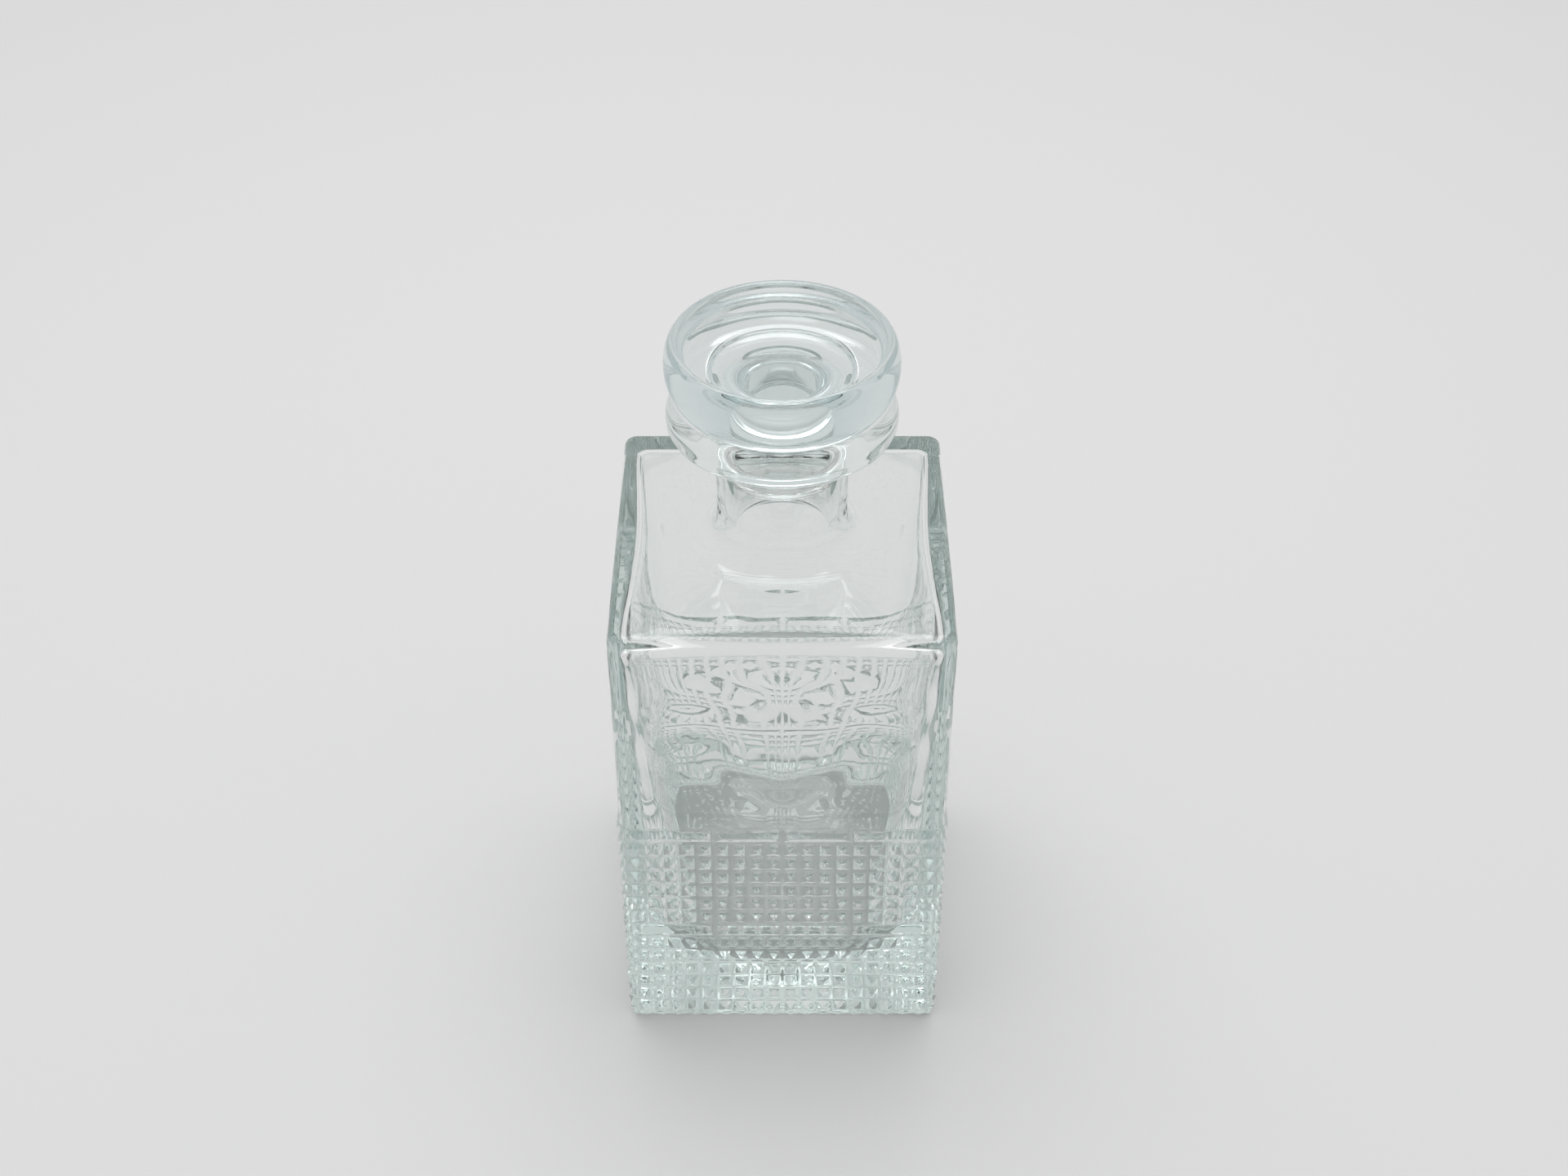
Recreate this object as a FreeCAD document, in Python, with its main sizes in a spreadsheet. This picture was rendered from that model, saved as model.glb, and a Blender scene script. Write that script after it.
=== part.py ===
"""Square glass decanter with a disc stopper and the ribbed ring that seals it.

Frame: the origin is the centre of the base, +Z runs up the neck and each side
of the square body faces along X or Y. Lengths are in millimetres.
"""
import FreeCAD, Part
import os
import Sketcher

doc = FreeCAD.newDocument("decanter")

# Driving dimensions. Every sketch and feature below reads them by name.
SIZES = {
    # square body
    "body_width": 95,
    "shoulder_height": 158.8,
    "corner_radius": 3.5,
    "shoulder_round": 2.2,
    "base_round": 2.5,
    # cut-glass zone: rows of pyramids in two tiers, each tier under a row of bars
    "row_start": 2.5,
    "row_pitch": 5.94,
    "rows_per_tier": 6,
    "tiers": 2,
    "column_pitch": 5.08,
    "columns": 18,
    "panel_columns": 4,
    "zone_relief": 1,
    "zone_corner": 2.6,
    "groove_depth": 1.4,
    "groove_floor": 1.4,
    "tip_width": 0.4,
    # neck and lip
    "neck_diameter": 36.8,
    "neck_round": 9,
    "lip_diameter": 63.6,
    "lip_bottom": 196.6,
    "lip_top": 206.1,
    "lip_lower_round": 3,
    "lip_upper_round": 5.4,
    "throat_round": 5,
    "bore_diameter": 27,
    "mouth_radius": 20.2,
    "mouth_depth": 11,
    "mouth_edge_round": 1,
    "mouth_round": 8,
    # inner space
    "base_thickness": 13,
    "ceiling_height": 153.4,
    "cavity_width": 84,
    "cavity_corner": 9,
    "cavity_floor_round": 8,
    "cavity_top_round": 5,
    "bore_round": 13,
    # stopper
    "stopper_diameter": 64,
    "stopper_bottom": 206.3,
    "stopper_thickness": 17.6,
    "stopper_lower_round": 6.5,
    "widest_height": 10.3,
    "side_radius": 31.4,
    "side_height": 14,
    "crest_outer_radius": 30.2,
    "crest_inner_radius": 27.6,
    "crest_round": 1.1,
    "well_radius": 26.2,
    "well_depth": 3,
    "well_round": 1.5,
    "dish_depth": 0.5,
    "boss_radius": 19.4,
    "boss_depth": 1.3,
    "root_height": 7.5,
    "root_round": 7,
    "shank_radius": 10,
    "shank_bottom": 178.4,
    "bead_height": 2.4,
    "bead_proud": 0.5,
    # seal ring
    "seal_bottom": 180.9,
    "seal_height": 13,
    "seal_ribs": 4,
    "seal_rib_height": 1.8,
    "seal_wall_outer": 12.3,
    "seal_slip": 0.06,
}

sheet = doc.addObject("Spreadsheet::Sheet", "Sizes")
for row, (alias, value) in enumerate(SIZES.items(), start=1):
    sheet.set(f"A{row}", alias)
    sheet.set(f"B{row}", str(value))
    sheet.setAlias(f"B{row}", alias)
doc.recompute()


def size(formula):
    """Puts the sheet's name before each dimension in a formula."""
    words = formula.split()
    return " ".join(f"Sizes.{word}" if word in SIZES else word for word in words)


def origin_feature(body, role):
    """The body's own origin plane or axis with this role."""
    return next(item for item in body.Origin.OriginFeatures if item.Role == role)


def new_body(name):
    """An empty PartDesign body."""
    body = doc.addObject("PartDesign::Body", name)
    body.Label = name
    return body


def outline(body, name, plane, corners):
    """A closed sketch through corners given as pairs of size formulas."""
    sketch = body.newObject("Sketcher::SketchObject", name)
    sketch.AttachmentSupport = (origin_feature(body, plane), [""])
    sketch.MapMode = "FlatFace"
    formulas = [(size(across), size(up)) for across, up in corners]
    points = [
        FreeCAD.Vector(float(sketch.evalExpression(across)), float(sketch.evalExpression(up)), 0)
        for across, up in formulas
    ]
    count = len(points)
    for index in range(count):
        sketch.addGeometry(Part.LineSegment(points[index], points[(index + 1) % count]))
    for index in range(count):
        sketch.addConstraint(Sketcher.Constraint("Coincident", index, 2, (index + 1) % count, 1))
    for index in range(count):
        for kind, value, formula in (
            ("DistanceX", points[index].x, formulas[index][0]),
            ("DistanceY", points[index].y, formulas[index][1]),
        ):
            datum = sketch.addConstraint(Sketcher.Constraint(kind, -1, 1, index, 1, value))
            sketch.setExpression(f"Constraints[{datum}]", formula)
    doc.recompute()
    return sketch


def square(body, name, width):
    """A centred square sketch on the base plane."""
    low, high = f"-1 * {width} / 2", f"{width} / 2"
    corners = ((low, low), (high, low), (high, high), (low, high))
    return outline(body, name, "XY_Plane", corners)


def pad(body, name, sketch, height):
    """Raises a sketch to a height."""
    feature = body.newObject("PartDesign::Pad", name)
    feature.Profile = sketch
    feature.setExpression("Length", size(height))
    doc.recompute()
    body.Tip = feature
    return feature


def revolve(body, name, sketch):
    """Turns a half section about the vertical axis."""
    feature = body.newObject("PartDesign::Revolution", name)
    feature.Profile = sketch
    feature.ReferenceAxis = (origin_feature(body, "Z_Axis"), [""])
    feature.Angle = 360
    doc.recompute()
    body.Tip = feature
    return feature


def round_edges(body, name, radius, wanted):
    """Fillets every edge of the tip for which wanted(edge) holds."""
    base = body.Tip
    names = [f"Edge{i}" for i, edge in enumerate(base.Shape.Edges, start=1) if wanted(edge)]
    feature = body.newObject("PartDesign::Fillet", name)
    feature.Base = (base, names)
    feature.setExpression("Radius", size(radius))
    doc.recompute()
    body.Tip = feature
    return feature


def value(name):
    """A dimension as the sheet holds it."""
    return float(sheet.get(name))


def upright(edge):
    """True for a straight vertical edge."""
    low, high = edge.BoundBox.ZMin, edge.BoundBox.ZMax
    return high - low > 1 and edge.BoundBox.XLength < 0.01 and edge.BoundBox.YLength < 0.01


def level(edge, height):
    """True for an edge that lies in the plane at this height."""
    box = edge.BoundBox
    return abs(box.ZMin - height) < 0.01 and abs(box.ZMax - height) < 0.01


def ring(edge, radius, height):
    """True for a full circle about the axis with this radius and height."""
    curve = edge.Curve
    if not isinstance(curve, Part.Circle) or not level(edge, height):
        return False
    return abs(curve.Radius - radius) < 0.01 and curve.Center.x ** 2 + curve.Center.y ** 2 < 1e-4


def groove(body, name, sketch, length, both_ways):
    """Cuts one groove from a sketch: to one side of its plane, or both ways."""
    before = body.Tip.Shape.Volume
    feature = body.newObject("PartDesign::Pocket", name)
    feature.Profile = sketch
    feature.SideType = "Symmetric" if both_ways else "One side"
    feature.Refine = False
    feature.setExpression("Length", size(length))
    doc.recompute()
    if abs(before - feature.Shape.Volume) < 1:
        feature.Reversed = True
        doc.recompute()
    assert before - feature.Shape.Volume > 1, f"{name} cuts nothing"
    body.Tip = feature
    return feature


def repeat(body, name, feature, steps):
    """Repeats a groove along each (axis, pitch, count), then on the four sides."""
    multi = body.newObject("PartDesign::MultiTransform", name)
    multi.Originals = [feature]
    moves = []
    for index, (axis, pitch, count) in enumerate(steps):
        row = body.newObject("PartDesign::LinearPattern", f"{name}_step{index}")
        row.Direction = (origin_feature(body, axis), [""])
        row.Mode = "Spacing"
        row.setExpression("Offset", size(pitch))
        row.setExpression("Occurrences", size(count))
        moves.append(row)
    turn = body.newObject("PartDesign::PolarPattern", f"{name}_sides")
    turn.Axis = (origin_feature(body, "Z_Axis"), [""])
    turn.Angle = 360
    turn.Occurrences = 4
    moves.append(turn)
    multi.Transformations = moves
    multi.Refine = False
    doc.recompute()
    body.Tip = multi
    return multi


def groove_section(across, centre, pitch):
    """Corners of a groove's section: narrow floor, open mouth, cut past the face."""
    face = "( body_width / 2 + zone_relief )"
    floor = f"( {face} - groove_depth )"
    half_floor = "groove_floor / 2"
    half_mouth = f"( {pitch} - tip_width ) / 2"
    # The sloping sides carry on a little way outside the face.
    past = f"( {face} + groove_depth / 3 )"
    half_past = f"( {half_mouth} + ( {half_mouth} - {half_floor} ) / 3 )"
    corners = (
        (f"{centre} - {half_past}", f"-1 * {past}"),
        (f"{centre} + {half_past}", f"-1 * {past}"),
        (f"{centre} + {half_floor}", f"-1 * {floor}"),
        (f"{centre} - {half_floor}", f"-1 * {floor}"),
    )
    return corners if across else tuple((depth, along) for along, depth in corners)


ZONE_HEIGHT = "( row_start + ( rows_per_tier + 1 ) * tiers * row_pitch )"


def cut_pattern(body):
    """Row grooves, column grooves in each tier and the panels' full-height grooves."""
    tier = "( rows_per_tier + 1 ) * row_pitch"
    rows = outline(body, "row_section", "YZ_Plane", groove_section(False, "row_start", "row_pitch"))
    first_row = groove(body, "row_groove", rows, "body_width * 1.2", True)
    row_count = "( rows_per_tier + 1 ) * tiers + 1"
    repeat(body, "row_grooves", first_row, [("Z_Axis", "row_pitch", row_count)])
    first_column = "-1 * column_pitch * columns / 2"
    section = groove_section(True, first_column, "column_pitch")
    columns = outline(body, "column_section", "XY_Plane", section)
    column = groove(body, "column_groove", columns, "row_start + rows_per_tier * row_pitch", False)
    steps = [("X_Axis", "column_pitch", "columns + 1"), ("Z_Axis", tier, "tiers")]
    repeat(body, "column_grooves", column, steps)
    first_panel = "-1 * column_pitch * panel_columns"
    section = groove_section(True, first_panel, "column_pitch")
    panels = outline(body, "panel_section", "XY_Plane", section)
    panel = groove(body, "panel_groove", panels, ZONE_HEIGHT, False)
    repeat(body, "panel_grooves", panel, [("X_Axis", "column_pitch * panel_columns", "3")])


def build_blank():
    """Outside of the bottle: square body, raised cut zone, neck and round lip."""
    body = new_body("glass_blank")
    pad(body, "body_pad", square(body, "body_square", "body_width"), "shoulder_height")
    round_edges(body, "body_corners", "corner_radius", upright)
    top = value("shoulder_height")
    round_edges(body, "shoulder_edge", "shoulder_round", lambda edge: level(edge, top))
    zone_width = "( body_width + 2 * zone_relief )"
    pad(body, "zone_pad", square(body, "zone_square", zone_width), ZONE_HEIGHT)
    reach = value("body_width") / 2 + value("zone_relief") - 0.01

    def zone_corner(edge):
        box = edge.BoundBox
        return upright(edge) and abs(box.XMin) > reach and abs(box.YMin) > reach

    round_edges(body, "zone_corners", "zone_corner", zone_corner)
    round_edges(body, "base_edge", "base_round", lambda edge: level(edge, 0))
    half_section = (
        ("0 * body_width", "shoulder_height - 3"),
        ("neck_diameter / 2", "shoulder_height - 3"),
        ("neck_diameter / 2", "lip_bottom"),
        ("lip_diameter / 2", "lip_bottom"),
        ("lip_diameter / 2", "lip_top"),
        ("0 * body_width", "lip_top"),
    )
    revolve(body, "neck_and_lip", outline(body, "neck_section", "XZ_Plane", half_section))
    neck, lip = value("neck_diameter") / 2, value("lip_diameter") / 2
    low, high = value("lip_bottom"), value("lip_top")
    round_edges(body, "neck_foot", "neck_round", lambda edge: ring(edge, neck, top))
    round_edges(body, "throat", "throat_round", lambda edge: ring(edge, neck, low))
    round_edges(body, "lip_below", "lip_lower_round", lambda edge: ring(edge, lip, low))
    round_edges(body, "lip_above", "lip_upper_round", lambda edge: ring(edge, lip, high))
    cut_pattern(body)
    return body


def build_core():
    """Inner space of the bottle: square chamber, and the bore up through the lip."""
    body = new_body("inner_core")
    sketch = square(body, "chamber_square", "cavity_width")
    sketch.setExpression("AttachmentOffset.Base.z", "Sizes.base_thickness")
    doc.recompute()
    pad(body, "chamber_pad", sketch, "ceiling_height - base_thickness")
    floor, ceiling = value("base_thickness"), value("ceiling_height")
    round_edges(body, "chamber_corners", "cavity_corner", upright)
    round_edges(body, "chamber_floor", "cavity_floor_round", lambda edge: level(edge, floor))
    round_edges(body, "chamber_top", "cavity_top_round", lambda edge: level(edge, ceiling))
    half_section = (
        ("0 * body_width", "ceiling_height - 3"),
        ("bore_diameter / 2", "ceiling_height - 3"),
        ("bore_diameter / 2", "lip_top - mouth_depth"),
        ("mouth_radius", "lip_top - mouth_edge_round"),
        ("mouth_radius + mouth_edge_round", "lip_top"),
        ("mouth_radius + mouth_edge_round", "lip_top + 5"),
        ("0 * body_width", "lip_top + 5"),
    )
    revolve(body, "bore", outline(body, "bore_section", "XZ_Plane", half_section))
    bore = value("bore_diameter") / 2
    round_edges(body, "bore_foot", "bore_round", lambda edge: ring(edge, bore, ceiling))
    flare = value("lip_top") - value("mouth_depth")
    round_edges(body, "mouth_flare", "mouth_round", lambda edge: ring(edge, bore, flare))
    return body


def build_bottle():
    """The blank less its inner space."""
    bottle = doc.addObject("Part::Cut", "bottle")
    bottle.Base = build_blank()
    bottle.Tool = build_core()
    bottle.Refine = False
    bottle.Label = "bottle"
    doc.recompute()
    return bottle


def build_stopper():
    """Solid disc with a raised bead round its top, a boss below and a bell-rooted shank."""
    body = new_body("stopper")
    top = "( stopper_bottom + stopper_thickness )"
    bead = "( shank_bottom + bead_height )"
    half_section = (
        ("0 * body_width", "shank_bottom"),
        ("shank_radius - bead_proud", "shank_bottom"),
        ("shank_radius + bead_proud", "shank_bottom + bead_height / 2"),
        ("shank_radius + bead_proud", f"{bead} - bead_proud"),
        ("shank_radius", bead),
        ("shank_radius", "stopper_bottom - boss_depth - root_height"),
        ("boss_radius", "stopper_bottom - boss_depth"),
        ("boss_radius", "stopper_bottom"),
        ("stopper_diameter / 2", "stopper_bottom"),
        ("stopper_diameter / 2", "stopper_bottom + widest_height"),
        ("side_radius", "stopper_bottom + side_height"),
        ("crest_outer_radius", top),
        ("crest_inner_radius", top),
        ("well_radius", f"{top} - well_depth"),
        ("0 * body_width", f"{top} - well_depth - dish_depth"),
    )
    revolve(body, "stopper_turned", outline(body, "stopper_section", "XZ_Plane", half_section))
    rim, shank = value("stopper_diameter") / 2, value("shank_radius")
    low = value("stopper_bottom")
    high = low + value("stopper_thickness")
    root = low - value("boss_depth") - value("root_height")
    outer, inner = value("crest_outer_radius"), value("crest_inner_radius")
    well, foot = value("well_radius"), high - value("well_depth")
    round_edges(body, "rim_below", "stopper_lower_round", lambda edge: ring(edge, rim, low))
    round_edges(body, "crest", "crest_round",
                lambda edge: ring(edge, outer, high) or ring(edge, inner, high))
    round_edges(body, "well_foot", "well_round", lambda edge: ring(edge, well, foot))
    round_edges(body, "shank_root", "root_round", lambda edge: ring(edge, shank, root))
    return body


def build_seal():
    """Thin sleeve round the shank with ribs that reach the bore."""
    body = new_body("seal_ring")
    inner = "shank_radius + seal_slip"
    tip = "bore_diameter / 2 - seal_slip"
    pitch = "( seal_height - seal_rib_height ) / ( seal_ribs - 1 )"
    corners = [(inner, "seal_bottom")]
    for rib in range(SIZES["seal_ribs"]):
        foot = f"seal_bottom + {pitch} * {rib}"
        corners.append(("seal_wall_outer", foot))
        corners.append((tip, f"{foot} + seal_rib_height / 3"))
        corners.append((tip, f"{foot} + seal_rib_height * 2 / 3"))
        corners.append(("seal_wall_outer", f"{foot} + seal_rib_height"))
    corners.append((inner, "seal_bottom + seal_height"))
    revolve(body, "sleeve", outline(body, "seal_section", "XZ_Plane", corners))
    return body


parts = [build_bottle(), build_stopper(), build_seal()]
doc.recompute()

for item in doc.Objects:
    assert not {"Invalid", "Error"} & set(item.State), f"{item.Name} failed: {item.State}"

os.makedirs("parts", exist_ok=True)
for part in parts:
    shape = part.Shape
    assert not shape.isNull() and shape.isValid(), f"{part.Label} isn't a valid solid"
    assert len(shape.Solids) == 1, f"{part.Label} has {len(shape.Solids)} solids"
    shape.exportStep(f"parts/{part.Label}.step")
    box = shape.BoundBox
    print(part.Label, round(shape.Volume), len(shape.Faces), box)
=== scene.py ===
"""Looks of the square glass decanter: pressed bottle, disc stopper and ribbed seal ring."""
import math

import bpy
import numpy as np
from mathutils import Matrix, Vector


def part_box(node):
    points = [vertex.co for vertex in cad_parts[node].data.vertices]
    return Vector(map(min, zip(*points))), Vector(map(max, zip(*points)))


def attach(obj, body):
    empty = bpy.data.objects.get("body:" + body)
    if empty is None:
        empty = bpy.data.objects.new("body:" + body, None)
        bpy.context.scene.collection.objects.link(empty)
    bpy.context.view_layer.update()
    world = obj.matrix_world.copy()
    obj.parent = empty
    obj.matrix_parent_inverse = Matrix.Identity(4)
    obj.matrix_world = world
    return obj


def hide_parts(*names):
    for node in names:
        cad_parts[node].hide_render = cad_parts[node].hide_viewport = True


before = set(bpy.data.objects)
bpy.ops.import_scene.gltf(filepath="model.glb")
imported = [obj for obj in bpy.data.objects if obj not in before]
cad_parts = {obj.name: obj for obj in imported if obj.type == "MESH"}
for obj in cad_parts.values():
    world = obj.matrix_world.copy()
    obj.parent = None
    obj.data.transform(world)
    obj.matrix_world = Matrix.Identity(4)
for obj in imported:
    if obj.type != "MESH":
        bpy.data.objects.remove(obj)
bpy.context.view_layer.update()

MM = 0.001

# ---------------------------------------------------------------- sizes, in millimetres
bottle_low, bottle_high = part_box("bottle")
stopper_low, stopper_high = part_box("stopper")
seal_low, seal_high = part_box("seal_ring")

ZONE_HALF = bottle_high.x / MM            # half width over the cut zone
LIP_TOP = bottle_high.z / MM
STOPPER_TOP = stopper_high.z / MM
SHANK_BOTTOM = stopper_low.z / MM
SEAL_BOTTOM, SEAL_TOP = seal_low.z / MM, seal_high.z / MM

ZONE_RELIEF = 1.0                         # how far the cut zone stands proud of the plain walls
PLAIN_HALF = ZONE_HALF - ZONE_RELIEF
GROOVE_DEPTH = 1.4
GROOVE_FLOOR = 1.4                        # width of a groove's floor
TIP_WIDTH = 0.4                           # width of a pyramid's blunt tip
ROW_START = 2.5                           # height of the lowest groove's centre
ROW_PITCH, COLUMN_PITCH = 5.94, 5.08
TIER_ROWS, TIERS, COLUMNS = 6, 2, 18
PANEL_COLUMNS = 4
ZONE_TOP = ROW_START + ROW_PITCH * (TIER_ROWS + 1) * TIERS
ZONE_CORNER = 2.6
BASE_ROUND = 2.1
FOOT_FADE = 1.3                           # height over which the pattern grows out of the plain foot

PLAIN_CORNER = 3.5
SHOULDER_TOP = 158.8
SHOULDER_ROUND = 2.2
NECK_RADIUS = 18.4
NECK_ROUND = 9.0
THROAT_ROUND = 5.0
LIP_BOTTOM = 196.6
LIP_RADIUS = 31.8
LIP_LOWER, LIP_UPPER = 3.0, 5.4
BORE_RADIUS = 13.5
MOUTH_RADIUS = 20.2                       # where the flared mouth meets the flat top
MOUTH_EDGE, MOUTH_DEPTH = 1.2, 12.0

FLOOR_TOP = 13.0                          # thickness of the glass under the drink
FLOOR_WAVE = 0.5
FLOOR_CROWN = 1.4                         # rise of the floor's middle
CEILING, CEILING_EDGE = 154.0, 152.9      # the ceiling beside the neck, and in the corners

FLOOR_COLOUR = (0.64, 0.64, 0.64)          # of the stage

ARC_STEPS = 8                             # segments on a body corner
COARSE_STEPS = 24                         # segments along a side outside the cut zone


# ---------------------------------------------------------------- mesh helpers
class Shell:
    """Collects points and faces ring by ring."""

    def __init__(self):
        self.points, self.faces = [], []

    def ring(self, points):
        """Adds a closed ring of points and returns their indices."""
        start = len(self.points)
        self.points.extend(map(tuple, points))
        return list(range(start, start + len(points)))

    def join(self, low, high):
        """Quads between two rings with as many points."""
        count = len(low)
        for i in range(count):
            j = (i + 1) % count
            self.faces.append((low[i], low[j], high[j], high[i]))

    def cap(self, ring, flip=False):
        """One flat face over a ring."""
        self.faces.append(tuple(reversed(ring)) if flip else tuple(ring))

    def mesh(self, name):
        data = bpy.data.meshes.new(name)
        data.from_pydata([tuple(c * MM for c in point) for point in self.points], [], self.faces)
        data.validate()
        data.update()
        return data


def smooth(piece, degrees):
    """Smooth shading that keeps edges sharper than this many degrees."""
    piece.data.shade_smooth()
    piece.data.set_sharp_from_angle(angle=math.radians(degrees))


def make_object(name, data):
    piece = bpy.data.objects.new(name, data)
    bpy.context.scene.collection.objects.link(piece)
    return piece


def arc(cx, cy, radius, start, end, steps):
    """Points on a circular arc, angles in degrees, both ends included."""
    angles = [math.radians(start + (end - start) * i / steps) for i in range(steps + 1)]
    return [(cx + radius * math.cos(a), cy + radius * math.sin(a)) for a in angles]


def oval(cx, cz, rx, rz, start, end, steps):
    """Points on an elliptical arc, angles in degrees, both ends included."""
    angles = [math.radians(start + (end - start) * i / steps) for i in range(steps + 1)]
    return [(cx + rx * math.cos(a), cz + rz * math.sin(a)) for a in angles]


# ---------------------------------------------------------------- bottle
# Across half a pitch, from a groove's centre to a tip: how high the cut face stands,
# as a share of the groove's depth. Rows and columns share the levels, so hips stay straight.
LEVELS = (0.0, 0.015, 0.1, 0.9, 1.0)


def half_cell(pitch):
    """Distances from a groove's centre for each of LEVELS."""
    run = pitch / 2 - TIP_WIDTH / 2 - GROOVE_FLOOR / 2
    foot = GROOVE_FLOOR / 2
    return (0.0, foot - 0.15, foot + 0.1 * run, foot + 0.9 * run, pitch / 2)


def stations(pitch, cells):
    """(distance, level, cell) along a run of cells that starts in a groove's centre."""
    across = half_cell(pitch)
    result = []
    for cell in range(cells):
        for k in range(5):
            result.append((cell * pitch + across[k], LEVELS[k], cell))
        for k in (3, 2, 1):
            result.append(((cell + 1) * pitch - across[k], LEVELS[k], cell))
    result.append((cells * pitch, 0.0, cells - 1))
    return result


COLUMN_STATIONS = [(d - COLUMN_PITCH * COLUMNS / 2, level, cell)
                   for d, level, cell in stations(COLUMN_PITCH, COLUMNS)]


def bar_level(distance):
    """Level across a row of bars: grooves only at the panels' borders and the zone's ends."""
    panel = PANEL_COLUMNS * COLUMN_PITCH
    edge = COLUMN_PITCH * COLUMNS / 2
    near = min(abs(distance - border) for border in (-edge, -panel, 0.0, panel, edge))
    across = half_cell(COLUMN_PITCH)
    return float(np.interp(near, across, LEVELS))


def corner_level(arc_length):
    """Level on the corner post, by distance from the outermost groove's centre."""
    return float(np.interp(arc_length, half_cell(COLUMN_PITCH), LEVELS))


def side_ring(offsets, centre, shares, reach):
    """A closed ring of a rounded square, counterclockwise from above.

    offsets: distance from the axis' planes for each point of one side and corner.
    centre: the corner arcs' centre; shares: straight stations from -1 to 1.
    """
    straight = len(shares)
    quarter = []
    for i, share in enumerate(shares):
        quarter.append((share * reach, -offsets[i]))
    for j in range(ARC_STEPS + 1):
        angle = math.radians(-90 + 90 * j / ARC_STEPS)
        radius = offsets[straight + j] - centre
        quarter.append((centre + radius * math.cos(angle), -centre + radius * math.sin(angle)))
    points = []
    for turn in range(4):
        c, s = ((1, 0), (0, 1), (-1, 0), (0, -1))[turn]
        points.extend((x * c - y * s, x * s + y * c) for x, y in quarter)
    return points


def with_height(points, height):
    return [(x, y, height) for x, y in points]


EDGE = COLUMN_PITCH * COLUMNS / 2
DENSE_SHARES = [d / EDGE for d, level, cell in COLUMN_STATIONS]
COARSE_SHARES = [-1 + 2 * i / COARSE_STEPS for i in range(COARSE_STEPS + 1)]
ZONE_CENTRE = ZONE_HALF - ZONE_CORNER     # centre of the zone's corner arcs
PLAIN_CENTRE = PLAIN_HALF - PLAIN_CORNER
FLOOR_HALF = ZONE_HALF - GROOVE_DEPTH


def base_inset(height):
    """How far the rounded base edge draws the wall in."""
    if height >= BASE_ROUND:
        return 0.0
    return BASE_ROUND - math.sqrt(BASE_ROUND ** 2 - (BASE_ROUND - height) ** 2)


def zone_offsets(height, row_level, in_tier):
    """Offset of every point of a quarter ring in the cut zone."""
    offsets = []
    depth = GROOVE_DEPTH * min(1.0, height / FOOT_FADE)
    for distance, level, cell in COLUMN_STATIONS:
        across = level if in_tier else bar_level(distance)
        offsets.append(FLOOR_HALF + depth * min(row_level, across) - base_inset(height))
    start = ZONE_CENTRE - EDGE
    for j in range(ARC_STEPS + 1):
        along = start + ZONE_CORNER * math.radians(90 * j / ARC_STEPS)
        whole = 2 * start + ZONE_CORNER * math.radians(90)
        across = corner_level(min(along, whole - along))
        offsets.append(FLOOR_HALF + depth * min(row_level, across) - base_inset(height))
    return offsets


def row_stations():
    """(height, level, in_tier) up the cut zone, with extra heights on the rounded base edge."""
    rows = (TIER_ROWS + 1) * TIERS
    result = []
    for height, level, row in stations(ROW_PITCH, rows):
        result.append((ROW_START + height, level, row % (TIER_ROWS + 1) != TIER_ROWS))
    for height in (0.0, 0.1, 0.4, 0.8, 1.3, 1.8, 2.2):
        level = float(np.interp(ROW_START - height, half_cell(ROW_PITCH), LEVELS))
        result.append((height, level, True))
    return sorted(result)


def add_zone(shell):
    """The cut zone's rings, hips split along their ridges. Returns the lowest and highest ring."""
    rings = []
    rows = row_stations()
    for height, level, in_tier in rows:
        # The corner arcs draw in with the rounded base edge, and the straight runs shorten to meet them.
        centre = ZONE_CENTRE - base_inset(height) * 0.75
        offsets = zone_offsets(height, level, in_tier)
        points = side_ring(offsets, centre, DENSE_SHARES, EDGE * centre / ZONE_CENTRE)
        rings.append(shell.ring(with_height(points, height)))
    points = np.array(shell.points)
    for low, high in zip(rings, rings[1:]):
        count = len(low)
        for i in range(count):
            j = (i + 1) % count
            quad = (low[i], low[j], high[j], high[i])
            a, b, c, d = (points[k] for k in quad)
            # Split along the diagonal that a hip follows; flat quads stay whole.
            normal = np.cross(b - a, d - a)
            size = np.linalg.norm(normal)
            if size < 1e-12 or abs(np.dot(c - a, normal / size)) < 1e-4:
                shell.faces.append(quad)
                continue
            # The ridge joins the two corners whose levels differ most.
            depth = [max(abs(p[0]), abs(p[1])) for p in (a, b, c, d)]
            if abs(depth[0] - depth[2]) >= abs(depth[1] - depth[3]):
                shell.faces.extend(((quad[0], quad[1], quad[2]), (quad[0], quad[2], quad[3])))
            else:
                shell.faces.extend(((quad[0], quad[1], quad[3]), (quad[1], quad[2], quad[3])))
    return rings[0], rings[-1]


def join_dense_coarse(shell, dense, coarse, flip=False):
    """Flat many-sided faces between a ring with the zone's stations and a coarse one."""
    dense_side, coarse_side = len(DENSE_SHARES) + ARC_STEPS + 1, len(COARSE_SHARES) + ARC_STEPS + 1
    step = (len(DENSE_SHARES) - 1) // COARSE_STEPS
    for turn in range(4):
        d0, c0 = turn * dense_side, turn * coarse_side
        for i in range(COARSE_STEPS):
            lower = [dense[d0 + i * step + k] for k in range(step + 1)]
            face = lower + [coarse[c0 + i + 1], coarse[c0 + i]]
            shell.faces.append(tuple(reversed(face)) if flip else tuple(face))
        for j in range(ARC_STEPS + 2):
            d, c = d0 + len(DENSE_SHARES) - 1 + j, c0 + len(COARSE_SHARES) - 1 + j
            d2 = dense[(d + 1) % len(dense)]
            c2 = coarse[(c + 1) % len(coarse)]
            face = [dense[d % len(dense)], d2, c2, coarse[c % len(coarse)]]
            shell.faces.append(tuple(reversed(face)) if flip else tuple(face))


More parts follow.
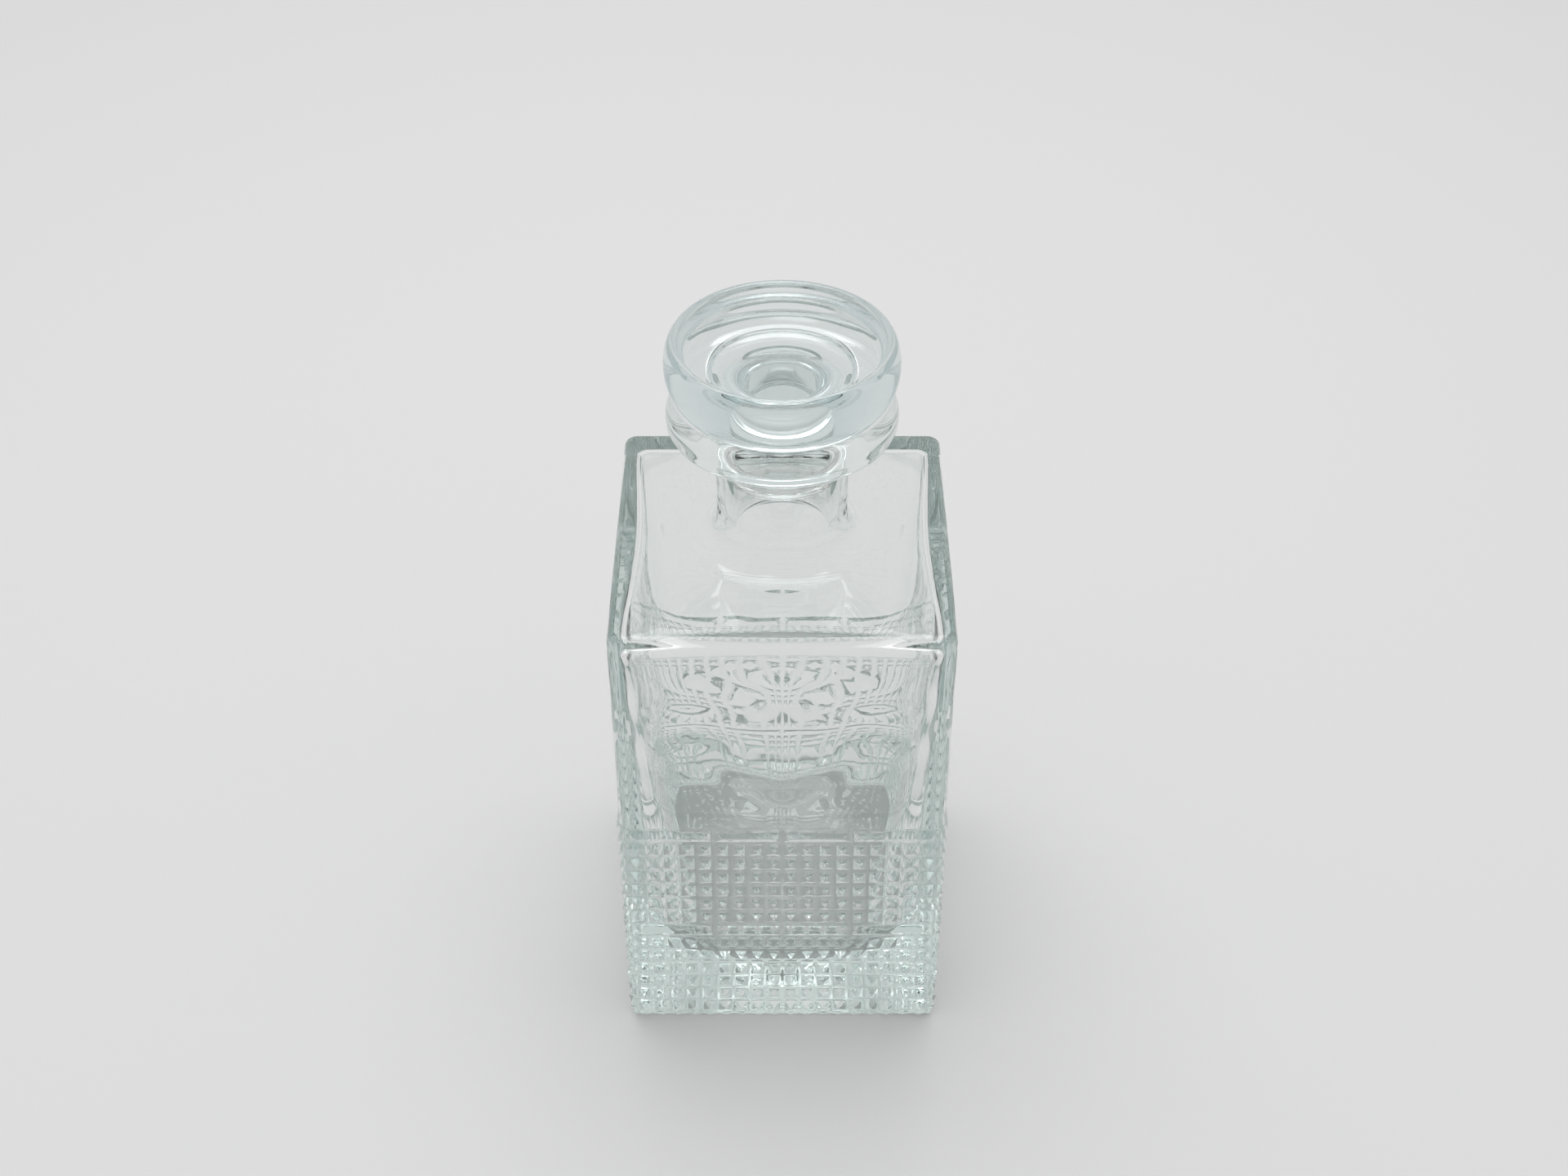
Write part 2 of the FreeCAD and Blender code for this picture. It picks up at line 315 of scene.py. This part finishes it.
def coarse_square(half, radius):
    """A coarse rounded square's (x, y) points."""
    centre = half - radius
    offsets = [half] * (len(COARSE_SHARES) + ARC_STEPS + 1)
    return side_ring(offsets, centre, COARSE_SHARES, centre * 0.985)


def circle_like(radius):
    """As many points as a coarse ring, evenly round a circle, starting at the same corner."""
    count = 4 * (len(COARSE_SHARES) + ARC_STEPS + 1)
    # A side's first and last straight points sit beside the corners, at about 45 degrees.
    lead = (ARC_STEPS + 2) / 2
    start = -135 + 360 / count * lead
    return [(radius * math.cos(math.radians(start + 360 * i / count)),
             radius * math.sin(math.radians(start + 360 * i / count))) for i in range(count)]


def mix(first, second, share):
    return [(a + (c - a) * share, b + (d - b) * share) for (a, b), (c, d) in zip(first, second)]


def ease(t):
    return t * t * (3 - 2 * t)


def wobble(along, across, height):
    """Slow unevenness of a blown inner wall, about -1 to 1, nearly alike left and right."""
    lean = 0.12 * math.sin(along / 11.0 + across / 30.0)
    away = abs(along)
    return (
        1.1 * math.cos(away / 4.6 + 0.9 * math.sin(height / 15.0) + lean)
        + 1.1 * math.sin(height / 4.9 + 1.6 * math.cos(away / 9.0) + lean)
        + 0.7 * math.sin(height / 2.9 + 1.1 * math.cos(away / 7.0) + lean)
        + 0.9 * math.sin(height / 11.0 - away / 12.0 + 2.1)
    ) / 3


INNER_WAVE = 0.55
CEILING_PINCH, PINCH_FOOT = 1.8, 122.0    # how far walls bow in under the ceiling, and from where
SEAM_HEIGHT, SEAM_WIDTH = 1.1, 6.0        # soft upright ridge in the middle of each inner wall


def wall_shift(along, across, height):
    """How far the inner wall stands in, by the distance along it, which wall, and the height."""
    seam = SEAM_HEIGHT * math.exp(-(along / SEAM_WIDTH) ** 2)
    above = 1.0 / (1.0 + math.exp((height - 146.0) / 4.0))
    below = 1.0 / (1.0 + math.exp((84.0 - height) / 4.0))
    return (INNER_WAVE * wobble(along, across, height) - seam) * above * (0.15 + 0.85 * below)


def ceiling_height(x, y):
    """The ceiling is flat, and falls a little in the four corners."""
    t = (math.hypot(x, y) - 46.0) / 13.0
    return CEILING + (CEILING_EDGE - CEILING) * ease(min(1.0, max(0.0, t)))


def pinched_square(half, radius, pinch):
    """A coarse rounded square whose sides bow in by pinch in their middle."""
    centre = half - radius
    offsets = [half - pinch * math.cos(math.pi / 2 * share) ** 2 for share in COARSE_SHARES]
    offsets += [half] * (ARC_STEPS + 1)
    return side_ring(offsets, centre, COARSE_SHARES, centre * 0.985)


def chamber_half(height):
    """Half width of the inner chamber at a height."""
    heights = (FLOOR_TOP, 60.0, 85.0, 125.0, CEILING_EDGE)
    return float(np.interp(height, heights, (40.6, 41.0, 41.4, 43.4, 44.2)))


def chamber_corner(height):
    """Radius of the inner chamber's upright corners at a height."""
    heights = (20.0, 45.0, 70.0, 95.0, CEILING_EDGE)
    return float(np.interp(height, heights, (19.0, 17.0, 13.0, 9.0, 3.5)))


def add_outside_top(shell, start):
    """Plain walls, shoulder, neck and lip up to the mouth. Returns the last ring."""
    last = start
    wall_top = SHOULDER_TOP - SHOULDER_ROUND
    for share in (0.33, 0.66, 1.0):
        height = ZONE_TOP + 4 + (wall_top - ZONE_TOP - 4) * share
        ring = shell.ring(with_height(coarse_square(PLAIN_HALF, PLAIN_CORNER), height))
        shell.join(last, ring)
        last = ring
    for x, z in arc(PLAIN_HALF - SHOULDER_ROUND, wall_top, SHOULDER_ROUND, 0, 90, 6)[1:]:
        inset = PLAIN_HALF - x
        points = coarse_square(x, max(0.8, PLAIN_CORNER - inset * 0.7))
        ring = shell.ring(with_height(points, z))
        shell.join(last, ring)
        last = ring
    rim = coarse_square(PLAIN_HALF - SHOULDER_ROUND, max(0.8, PLAIN_CORNER - SHOULDER_ROUND * 0.7))
    foot = circle_like(NECK_RADIUS + NECK_ROUND)
    for step in range(1, 8):
        ring = shell.ring(with_height(mix(rim, foot, step / 7), SHOULDER_TOP))
        shell.join(last, ring)
        last = ring
    profile = []
    profile += arc(NECK_RADIUS + NECK_ROUND, SHOULDER_TOP + NECK_ROUND, NECK_ROUND, 270, 180, 8)[1:]
    throat = arc(NECK_RADIUS + THROAT_ROUND, LIP_BOTTOM - THROAT_ROUND, THROAT_ROUND, 180, 90, 7)
    profile += throat
    profile += arc(LIP_RADIUS - LIP_LOWER, LIP_BOTTOM + LIP_LOWER, LIP_LOWER, -90, 0, 9)
    profile += arc(LIP_RADIUS - LIP_UPPER, LIP_TOP - LIP_UPPER, LIP_UPPER, 0, 90, 10)
    profile += [(MOUTH_RADIUS + MOUTH_EDGE + 2, LIP_TOP)]
    profile += arc(MOUTH_RADIUS + MOUTH_EDGE, LIP_TOP - MOUTH_EDGE, MOUTH_EDGE, 90, 165, 5)
    profile += oval(MOUTH_RADIUS, LIP_TOP - MOUTH_DEPTH, MOUTH_RADIUS - BORE_RADIUS,
                    MOUTH_DEPTH - 2, 90, 180, 12)
    for radius, z in profile:
        ring = shell.ring(with_height(circle_like(radius), z))
        shell.join(last, ring)
        last = ring
    return last


def add_inside(shell, start):
    """Bore, ceiling, chamber walls and floor, with the slow waves of a blown surface."""
    last = start

    def add(points):
        nonlocal last
        ring = shell.ring(points)
        shell.join(last, ring)
        last = ring

    foot_reach, foot_height = 13.0, 14.0
    add(with_height(circle_like(BORE_RADIUS), 182.0))
    foot = oval(BORE_RADIUS + foot_reach, CEILING + foot_height, foot_reach, foot_height, 180, 270, 14)
    for radius, z in foot:
        add(with_height(circle_like(radius), z))
    top_round = 3.0
    inner_circle = circle_like(BORE_RADIUS + foot_reach)
    half = chamber_half(CEILING_EDGE)
    corner = chamber_corner(CEILING_EDGE)
    rim = pinched_square(half - top_round, max(1.5, corner - top_round * 0.6), CEILING_PINCH)
    for step in range(1, 11):
        points = mix(inner_circle, rim, step / 10)
        add([(x, y, ceiling_height(x, y)) for x, y in points])
    tops = [ceiling_height(x, y) for x, y in rim]
    wall_top = CEILING_EDGE - top_round
    for x, rise in arc(half - top_round, 0, 1.0, 90, 0, 6)[1:]:
        inset = top_round * (1 - (x - half + top_round))
        points = pinched_square(half - inset, max(1.5, corner - inset * 0.6), CEILING_PINCH)
        add([(px, py, wall_top + (peak - wall_top) * rise) for (px, py), peak in zip(points, tops)])
    floor_round = 25.0
    top, bottom = CEILING_EDGE - top_round, FLOOR_TOP + floor_round
    levels = 44
    for step in range(1, levels + 1):
        z = top + (bottom - top) * step / levels
        pinch = CEILING_PINCH * ease(min(1.0, max(0.0, (z - PINCH_FOOT) / (top - PINCH_FOOT))))
        points = pinched_square(chamber_half(z), chamber_corner(z), pinch)
        fade = math.sin(math.pi * min(1.0, step / 6) / 2)
        fade *= math.sin(math.pi * min(1.0, (levels - step) / 4) / 2)
        moved = []
        for x, y in points:
            size = math.hypot(x, y)
            along, across = (y, x) if abs(x) > abs(y) else (x, y)
            shift = wall_shift(along, across, z) * fade
            # Each wall moves along its own normal; corners move outwards.
            if abs(abs(x) - abs(y)) < 6:
                moved.append((x + shift * x / size, y + shift * y / size, z))
            elif abs(x) > abs(y):
                moved.append((x + math.copysign(shift, x), y, z))
            else:
                moved.append((x, y + math.copysign(shift, y), z))
        add(moved)
    half, corner = chamber_half(bottom), chamber_corner(bottom)
    for x, z in arc(half - floor_round, FLOOR_TOP + floor_round, floor_round, 0, -90, 14)[1:]:
        add(with_height(coarse_square(x, bowl_corner(half, corner, x)), z))
    rim = coarse_square(half - floor_round, bowl_corner(half, corner, half - floor_round))
    for share in (0.9, 0.8, 0.7, 0.6, 0.5, 0.4, 0.3, 0.2, 0.12, 0.06, 0.02):
        scaled = [(x * share, y * share) for x, y in rim]
        crown = FLOOR_CROWN * (1 - share ** 2)
        add([(x, y, FLOOR_TOP + crown + floor_wave(x, y)) for x, y in scaled])
    shell.cap(last)


def bowl_corner(half, corner, size):
    """Corner radius of a bowl ring: it grows inwards, and stays under the ring's half width."""
    return min(corner + 0.5 * (half - size), size - 0.4)


def floor_wave(x, y):
    """Unevenness of the chamber's floor, in millimetres."""
    dimples = math.cos(x / 3.4) * math.cos(y / 5.2)
    return FLOOR_WAVE * (dimples + 0.5 * math.sin(y / 3.1 + abs(x) / 6.0))


def build_bottle():
    shell = Shell()
    low, high = add_zone(shell)
    # Underside: out to in, seen from below.
    under = shell.ring(with_height(coarse_square(PLAIN_HALF - 8, 4.0), 0.0))
    join_dense_coarse(shell, low, under, flip=True)
    shell.cap(under, flip=True)
    # The step up to the plain wall.
    plain = [PLAIN_HALF] * (len(DENSE_SHARES) + ARC_STEPS + 1)
    points = side_ring(plain, PLAIN_CENTRE, DENSE_SHARES, PLAIN_CENTRE * 0.985)
    dense = shell.ring(with_height(points, ZONE_TOP + 0.6))
    shell.join(high, dense)
    coarse = shell.ring(with_height(coarse_square(PLAIN_HALF, PLAIN_CORNER), ZONE_TOP + 4))
    join_dense_coarse(shell, dense, coarse)
    mouth = add_outside_top(shell, coarse)
    add_inside(shell, mouth)
    piece = make_object("bottle_pressed_glass", shell.mesh("bottle_pressed_glass"))
    smooth(piece, 24)
    return piece


# ---------------------------------------------------------------- turned pieces
def lathe(name, profile, steps=160, degrees=35):
    """A solid turned about the axis from (radius, height) points, bottom centre to top centre."""
    shell = Shell()
    last = None
    for radius, z in profile:
        if radius < 1e-6:
            continue
        ring = shell.ring([(radius * math.cos(2 * math.pi * i / steps),
                            radius * math.sin(2 * math.pi * i / steps), z) for i in range(steps)])
        if last is None:
            first = ring
        else:
            shell.join(last, ring)
        last = ring
    if profile[0][0] < 1e-6:
        shell.cap(first, flip=True)
        shell.cap(last)
    else:
        shell.join(last, first)
    piece = make_object(name, shell.mesh(name))
    smooth(piece, degrees)
    return piece


def build_stopper():
    """Thick disc with full-round rim, a raised bead round its flat top, on a solid shank."""
    radius, low, high = 31.9, LIP_TOP + 0.2, STOPPER_TOP
    shank, bead = 10.0, 0.5
    profile = [(0, SHANK_BOTTOM), (4.0, SHANK_BOTTOM)]
    profile += arc(shank - bead - 0.6, SHANK_BOTTOM + 0.6, 0.6, -90, -45, 3)
    profile += [(shank + bead - 0.2, SHANK_BOTTOM + 1.0), (shank + bead, SHANK_BOTTOM + 1.4),
                (shank + bead, SHANK_BOTTOM + 1.9), (shank, SHANK_BOTTOM + 2.5)]
    boss, boss_depth, root_height = 19.4, 1.3, 11.0
    root_low, root_reach = low - boss_depth - root_height, boss - 0.5 - shank
    profile += oval(boss - 0.5, root_low, root_reach, root_height, 180, 90, 20)
    profile += [(boss, low - boss_depth + 0.4), (boss + 0.2, low - 0.3), (boss + 0.6, low)]
    contact, widest = 26.2, low + 10.3
    profile += oval(contact, widest, radius - contact, widest - low, -90, 0, 16)
    crest, bead_width, well = 28.9, 2.6, 3.0
    profile += oval(crest, widest, radius - crest, high - widest, 0, 90, 12)[1:]
    profile += oval(crest, high - well * 0.6, bead_width * 0.55, well * 0.6, 90, 180, 7)[1:]
    profile += oval(crest - bead_width, high - well * 0.6, bead_width * 0.45, well * 0.4, 0, -90, 6)[1:]
    flat = crest - bead_width
    for i in range(1, 12):
        t = i / 12
        profile.append((flat * (1 - t), high - well - 0.5 * ease(t)))
    return lathe("stopper_solid_glass", profile)


def build_seal():
    """Thin sleeve with ribs whose edges are rounded."""
    inner, wall, tip = 10.06, 12.3, BORE_RADIUS - 0.06
    ribs, rib_height = 4, 1.8
    pitch = (SEAL_TOP - SEAL_BOTTOM - rib_height) / (ribs - 1)
    profile = [(inner, SEAL_TOP - 0.4), (inner, SEAL_BOTTOM + 0.4), (inner + 0.4, SEAL_BOTTOM)]
    for rib in range(ribs):
        z = SEAL_BOTTOM + rib * pitch
        profile += [(wall, z), (wall + 0.5, z + 0.2), (tip - 0.15, z + 0.55), (tip, z + 0.8),
                    (tip, z + 1.0), (tip - 0.15, z + 1.25), (wall + 0.5, z + 1.6), (wall, z + 1.8)]
    profile += [(inner + 0.4, SEAL_TOP)]
    return lathe("seal_ring_plastic", profile, steps=128, degrees=40)


# ---------------------------------------------------------------- materials
def glass(name, surface, tint, density, ripple_mm, ripple, seed):
    """Clear glass that colours light by depth, with slow ripples in its surface."""
    material = bpy.data.materials.new(name)
    material.use_nodes = True
    nodes, links = material.node_tree.nodes, material.node_tree.links
    nodes.clear()
    output = nodes.new("ShaderNodeOutputMaterial")
    shader = nodes.new("ShaderNodeBsdfPrincipled")
    shader.inputs["Base Color"].default_value = (*surface, 1)
    shader.inputs["Transmission Weight"].default_value = 1.0
    shader.inputs["IOR"].default_value = 1.51
    coordinates = nodes.new("ShaderNodeTexCoord")
    noise = nodes.new("ShaderNodeTexNoise")
    noise.inputs["Scale"].default_value = 1000 / ripple_mm
    noise.inputs["Detail"].default_value = 1.0
    noise.inputs["Distortion"].default_value = seed
    links.new(coordinates.outputs["Object"], noise.inputs["Vector"])
    bump = nodes.new("ShaderNodeBump")
    bump.inputs["Strength"].default_value = ripple
    bump.inputs["Distance"].default_value = 0.0002
    links.new(noise.outputs["Fac"], bump.inputs["Height"])
    links.new(bump.outputs["Normal"], shader.inputs["Normal"])
    # Faint haze that varies a little, as on handled glass.
    haze = nodes.new("ShaderNodeTexNoise")
    haze.inputs["Scale"].default_value = 60.0
    haze.inputs["Detail"].default_value = 3.0
    links.new(coordinates.outputs["Object"], haze.inputs["Vector"])
    span = nodes.new("ShaderNodeMapRange")
    span.inputs["From Min"].default_value = 0.35
    span.inputs["From Max"].default_value = 0.75
    span.inputs["To Min"].default_value = 0.0
    span.inputs["To Max"].default_value = 0.02
    links.new(haze.outputs["Fac"], span.inputs["Value"])
    links.new(span.outputs["Result"], shader.inputs["Roughness"])
    volume = nodes.new("ShaderNodeVolumeAbsorption")
    volume.inputs["Color"].default_value = (*tint, 1)
    volume.inputs["Density"].default_value = density
    links.new(shader.outputs["BSDF"], output.inputs["Surface"])
    links.new(volume.outputs["Volume"], output.inputs["Volume"])
    return material


def plastic():
    """Soft, slightly cloudy plastic."""
    material = bpy.data.materials.new("seal_plastic")
    material.use_nodes = True
    nodes, links = material.node_tree.nodes, material.node_tree.links
    shader = nodes["Principled BSDF"]
    coordinates = nodes.new("ShaderNodeTexCoord")
    noise = nodes.new("ShaderNodeTexNoise")
    noise.inputs["Scale"].default_value = 400.0
    links.new(coordinates.outputs["Object"], noise.inputs["Vector"])
    ramp = nodes.new("ShaderNodeValToRGB")
    ramp.color_ramp.elements[0].color = (0.90, 0.89, 0.89, 1)
    ramp.color_ramp.elements[1].color = (0.97, 0.965, 0.96, 1)
    links.new(noise.outputs["Fac"], ramp.inputs["Fac"])
    links.new(ramp.outputs["Color"], shader.inputs["Base Color"])
    shader.inputs["Roughness"].default_value = 0.12
    shader.inputs["Transmission Weight"].default_value = 0.96
    shader.inputs["IOR"].default_value = 1.5
    return material


# ---------------------------------------------------------------- stage
def build_floor():
    """A wide, plain, pale floor."""
    shell = Shell()
    width, depth, front = 4000.0, 2500.0, 2500.0
    shell.points = [(-width, -front, 0), (width, -front, 0), (width, depth, 0), (-width, depth, 0)]
    shell.faces = [(0, 1, 2, 3)]
    floor = make_object("stage_floor", shell.mesh("stage_floor"))
    floor.location.z = -0.00005
    material = bpy.data.materials.new("stage_floor")
    material.use_nodes = True
    shader = material.node_tree.nodes["Principled BSDF"]
    shader.inputs["Base Color"].default_value = (*FLOOR_COLOUR, 1)
    shader.inputs["Roughness"].default_value = 0.7
    floor.data.materials.append(material)


def add_light(name, place, aim, size, power, colour=(1, 1, 1)):
    """A soft square lamp aimed at a point."""
    data = bpy.data.lights.new(name, "AREA")
    data.shape = "RECTANGLE"
    data.size, data.size_y = size
    data.energy = power
    data.color = colour
    lamp = bpy.data.objects.new(name, data)
    bpy.context.scene.collection.objects.link(lamp)
    lamp.location = place
    direction = Vector(aim) - Vector(place)
    lamp.rotation_euler = direction.to_track_quat("-Z", "Y").to_euler()
    return lamp


def light_scene():
    world = bpy.data.worlds.new("studio")
    bpy.context.scene.world = world
    world.use_nodes = True
    nodes, links = world.node_tree.nodes, world.node_tree.links
    background = nodes["Background"]
    coordinates = nodes.new("ShaderNodeTexCoord")
    # Brightest overhead and behind, dim low down on the near side.
    slope = nodes.new("ShaderNodeVectorMath")
    slope.operation = "DOT_PRODUCT"
    slope.inputs[1].default_value = (0.0, 0.45, 0.8)
    span = nodes.new("ShaderNodeMapRange")
    span.inputs["From Min"].default_value = -0.25
    span.inputs["From Max"].default_value = 0.75
    ramp = nodes.new("ShaderNodeValToRGB")
    ramp.color_ramp.elements[0].color = (0.70, 0.70, 0.705, 1)
    ramp.color_ramp.elements[1].color = (0.95, 0.95, 0.95, 1)
    links.new(coordinates.outputs["Generated"], slope.inputs[0])
    links.new(slope.outputs["Value"], span.inputs["Value"])
    links.new(span.outputs["Result"], ramp.inputs["Fac"])
    links.new(ramp.outputs["Color"], background.inputs["Color"])
    background.inputs["Strength"].default_value = 0.85
    add_light("overhead", (-0.05, 0.3, 1.5), (0, 0.2, 0), (1.2, 1.2), 11.0)


def add_camera():
    data = bpy.data.cameras.new("camera")
    data.sensor_width = 36.0
    data.lens = 47.8
    camera = bpy.data.objects.new("camera", data)
    bpy.context.scene.collection.objects.link(camera)
    camera.location = (0.0005, -0.4653, 0.5279)
    camera.rotation_euler = (math.radians(50), 0, 0)
    bpy.context.scene.camera = camera


# ---------------------------------------------------------------- build
bottle = build_bottle()
bottle.data.materials.append(
    glass("bottle_glass", (0.965, 0.975, 0.970), (0.62, 0.74, 0.71), 8.0, 14.0, 0.25, 0.3))
stopper = build_stopper()
stopper.data.materials.append(
    glass("stopper_glass", (0.95, 0.965, 0.962), (0.60, 0.74, 0.75), 8.0, 18.0, 0.1, 0.1))
seal = build_seal()
seal.data.materials.append(plastic())

for piece, body, node, slot in (
    (bottle, "bottle", "bottle", "bottle_glass"),
    (stopper, "stopper", "stopper", "stopper_glass"),
    (seal, "seal", "seal_ring", "seal_plastic"),
):
    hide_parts(node)
    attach(piece, body)

build_floor()
light_scene()
add_camera()

scene = bpy.context.scene
scene.view_settings.view_transform = "Standard"
scene.cycles.max_bounces = 32
scene.cycles.transmission_bounces = 32
scene.cycles.glossy_bounces = 16
scene.cycles.diffuse_bounces = 4
scene.cycles.transparent_max_bounces = 16
scene.cycles.caustics_refractive = True
scene.cycles.caustics_reflective = True
scene.cycles.blur_glossy = 0.3
scene.cycles.sample_clamp_indirect = 20.0
